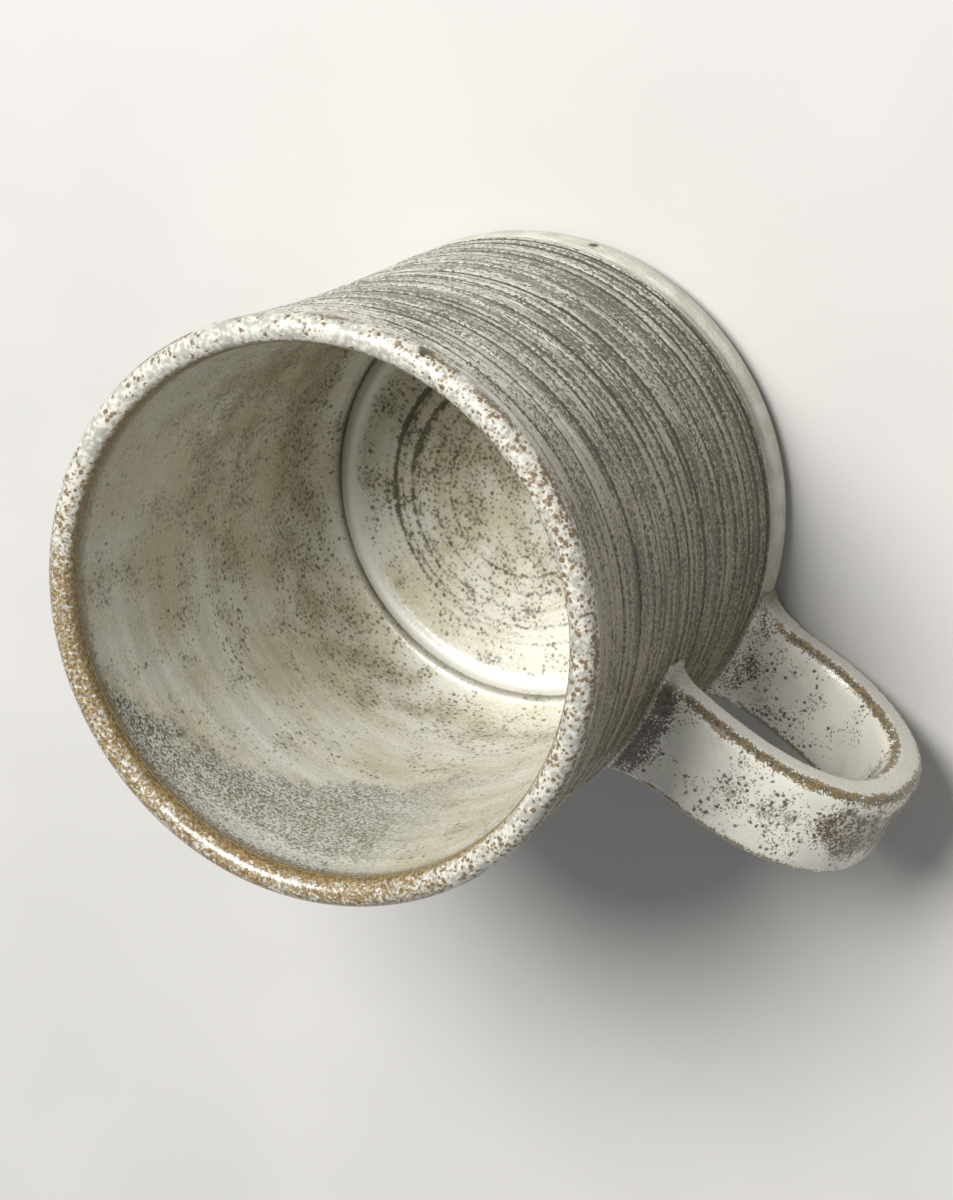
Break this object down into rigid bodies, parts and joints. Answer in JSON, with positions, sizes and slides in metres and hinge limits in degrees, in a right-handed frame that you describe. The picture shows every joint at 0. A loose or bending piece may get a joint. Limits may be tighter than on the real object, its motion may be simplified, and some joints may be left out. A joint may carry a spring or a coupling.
{
  "type": "stoneware mug",
  "caption": "Hand-thrown stoneware mug with a slightly flared rim, a rounded foot band and a wide strap handle set low on the wall.",
  "frame": {"origin": "centre of the foot's underside, on the mug's axis", "axes": "+Z along the mug's axis towards the rim; +X from the axis towards the handle"},
  "size_m": [0.1252, 0.0896, 0.0852],
  "materials": {
    "glazed_body": "satin cream glaze breaking to taupe and brown over throwing rings",
    "glazed_handle": "satin cream glaze with brown speckle, ochre where it breaks over the edges",
    "glazed_joint": "satin glaze pooled grey and brown over the slip joint"
  },
  "bodies": {
    "root": {"body": "glazed_body", "handle": "glazed_handle", "upper_joint": "glazed_joint", "lower_joint": "glazed_joint"}
  },
  "joints": []
}
